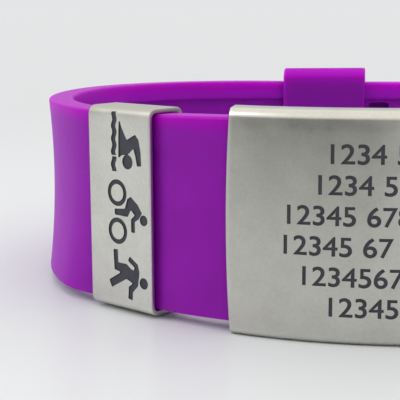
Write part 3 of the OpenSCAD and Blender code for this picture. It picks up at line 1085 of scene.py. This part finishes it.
class BRACELET_OT_closure(bpy.types.Operator):
    """Builds the plain closure bar with its head and foot"""
    bl_idname = "bracelet.closure"
    bl_label = "Closure bar"

    def execute(self, context):
        p, strap = context.scene.bracelet_closure, context.scene.bracelet_strap
        metal = material("Satin steel", steel, context.scene.bracelet_plate.metal)
        loop = line_of(context.scene)
        place, out = loop.place(loop.half + (strap.slot_right + strap.slot_pitch) / MM)
        along = out.cross(UP)
        centre = place + back_middle(strap)
        low, high = -strap.thickness / 2, strap.thickness / 2 + layer_of(strap) + CLOSURE_AIR
        foot = low + (strap.channel_depth - CLOSURE_AIR)
        b, inside_head = p.bar / 2, high + p.head / 2
        section = [(-b, low, BAR_CORNER), (b + p.foot, low, BAR_CORNER), (b + p.foot, foot, FOOT_CORNER),
                   (b, foot, 0), (b, inside_head, 0), (-b, inside_head, 0)]
        bar = prisms("bar_source", [rounded_outline(section, steps=3)],
                     lambda x, y, z: centre - along * x + out * y + UP * z,
                     -p.bar_height / 2, p.bar_height / 2, metal)
        pill = rounded_outline(box_corners(p.head_width, p.head_height, HEAD_CORNER), steps=8)
        head = prisms("head_source", [pill],
                      lambda x, y, z: centre - along * x + UP * y + out * z,
                      high, high + p.head, metal)
        add_bevel(head, width=0.2 * MM, segments=3, angle=60)
        add_boolean(bar, "Head", head, "UNION")
        finished(bar, "steel_closure_bar", "closure_bar", helpers=(head,))
        return {"FINISHED"}


# Stage

# Opposite corners of the floor and of the dark card, in metres
FLOOR = ((-9, -9, -0.01), (9, 9, 0))
FLAG = ((-0.21, -0.129, 0.002), (0.012, -0.128, 0.05))
# Between these places along Y, in metres, painted shade makes the floor darker towards the back, by this
# factor
FLOOR_NEAR, FLOOR_FAR, FLOOR_FAR_SHADE = -0.1, 0.2, 0.845
FLOOR_ROUGHNESS = 0.3
# Direction towards the light on the left, and its spread in radians
SUN_PLACE, SUN_SPREAD = (-1, -0.35, 0.8), 0.5
# Direction towards the brightest light, and the heights on it between which the light grows
SKY_PLACE, SKY_LOW, SKY_HIGH = (0, -0.04, 1), 0.12, 0.55
# Place of the camera in millimetres, from the floor under the middle of the plate's face
CAMERA_PLACE = (-7.72, -90.71, 28.36)
SENSOR_WIDTH, CLIP_START = 36, 0.005


def floor_material(name, colour, gloss):
    """Pale surface with a faint reflection, with painted shade that makes it a little darker far behind."""
    made, output, t = new_material(name, "OUTPUT_MATERIAL")
    x, y, z = t.place()
    far_shade = t.smooth_step(y, FLOOR_NEAR, FLOOR_FAR)
    matt = t.add("ShaderNodeBsdfDiffuse", {"Color": t.blend(far_shade, colour, shade(colour, FLOOR_FAR_SHADE))})
    shiny = t.add("ShaderNodeBsdfGlossy", {"Color": (*colour, 1), "Roughness": FLOOR_ROUGHNESS})
    t.feed(output, {"Surface": t.add("ShaderNodeMixShader", {0: gloss, 1: matt, 2: shiny})})
    return made


def slab(name, corners, finish):
    """Box between two opposite corners, which only dresses the stage."""
    (left, front, low), (right, back, high) = corners
    outline = [(left, front), (right, front), (right, back), (left, back)]
    return prisms(name, [outline], lambda x, y, z: (x, y, z), low, high, finish)


def soft_sun(name, strength, spread, towards):
    """Even light over the whole floor, from a direction that is given as a vector towards it."""
    data = bpy.data.lights.new(name, "SUN")
    data.energy, data.angle = strength, spread
    new_object(name, data).rotation_euler = Vector(towards).to_track_quat("Z", "Y").to_euler()


def studio_world(backdrop, around, overhead):
    """Soft light that is strongest overhead, and an even backdrop for the camera."""
    world = bpy.data.worlds.new("Soft studio")
    world.use_nodes = True
    t = Nodes("Soft studio", tree=world.node_tree)
    direction = t.add("ShaderNodeTexCoord", output="Generated")
    height = t.vector("DOT_PRODUCT", direction, SKY_PLACE).node.outputs["Value"]
    light = t.blend(t.smooth_step(height, SKY_LOW, SKY_HIGH), around, overhead)
    shown = t.blend(t.add("ShaderNodeLightPath", output="Is Camera Ray"), light, backdrop)
    t.feed(world.node_tree.nodes["Background"], {"Color": shown})
    return world


def new_camera(lens, turn, tilt, roll):
    """Camera at its place, turned to the left, tilted down and rolled."""
    right = Vector((math.cos(turn), math.sin(turn), 0))
    level = Vector((-math.sin(turn), math.cos(turn), 0))
    ahead = level * math.cos(tilt) - UP * math.sin(tilt)
    above = level * math.sin(tilt) + UP * math.cos(tilt)
    x_axis = right * math.cos(roll) + above * math.sin(roll)
    y_axis = above * math.cos(roll) - right * math.sin(roll)
    data = bpy.data.cameras.new("Camera")
    data.lens, data.sensor_width, data.clip_start = lens, SENSOR_WIDTH, CLIP_START
    camera = new_object("Camera", data)
    turned = Matrix((x_axis, y_axis, -ahead)).transposed()
    x, y, z = CAMERA_PLACE
    spot = Vector((x * MM, PLATE_LOW.y + y * MM, z * MM))
    camera.matrix_world = Matrix.LocRotScale(spot, turned.to_quaternion(), None)
    return camera


class BRACELET_OT_stage(bpy.types.Operator):
    """Builds the pale glossy floor, the soft studio light and the camera"""
    bl_idname = "bracelet.stage"
    bl_label = "Stage"

    def execute(self, context):
        p, scene = context.scene.bracelet_stage, context.scene
        scene.view_settings.view_transform = "Standard"
        floor = slab("floor", FLOOR, floor_material("Pale floor", p.floor, p.gloss))
        flag = slab("dark_flag", FLAG, floor_material("Dark flag", p.flag, 0))
        flag.visible_camera = False
        scene.world = studio_world(p.backdrop, p.around, p.overhead)
        soft_sun("Left light", p.left_light, SUN_SPREAD, SUN_PLACE)
        scene.camera = new_camera(p.lens, p.turn, p.tilt, p.roll)
        return {"FINISHED"}


class BRACELET_PT_panel(bpy.types.Panel):
    """Lists the pieces of the bracelet"""
    bl_label = "Id bracelet"
    bl_idname = "BRACELET_PT_panel"
    bl_space_type = "VIEW_3D"
    bl_region_type = "UI"
    bl_category = "Id bracelet"

    def draw(self, context):
        for operator, settings in zip(OPERATORS, SETTINGS):
            box = self.layout.box()
            box.operator(operator.bl_idname)
            group = getattr(context.scene, settings)
            for key in group.bl_rna.properties.keys():
                if key not in ("rna_type", "name"):
                    box.prop(group, key)


OPERATORS = (BRACELET_OT_strap, BRACELET_OT_keeper, BRACELET_OT_plate, BRACELET_OT_slider,
             BRACELET_OT_closure, BRACELET_OT_stage)
CLASSES = (*SETTINGS.values(), *OPERATORS, BRACELET_PT_panel)


def register():
    for item in CLASSES:
        bpy.utils.register_class(item)
    for name, group in SETTINGS.items():
        setattr(bpy.types.Scene, name, PointerProperty(type=group))


def unregister():
    for name in SETTINGS:
        delattr(bpy.types.Scene, name)
    for item in reversed(CLASSES):
        bpy.utils.unregister_class(item)


def main():
    register()
    for operator in OPERATORS:
        getattr(bpy.ops.bracelet, operator.bl_idname.split(".")[1])()


if __name__ == "__main__":
    main()
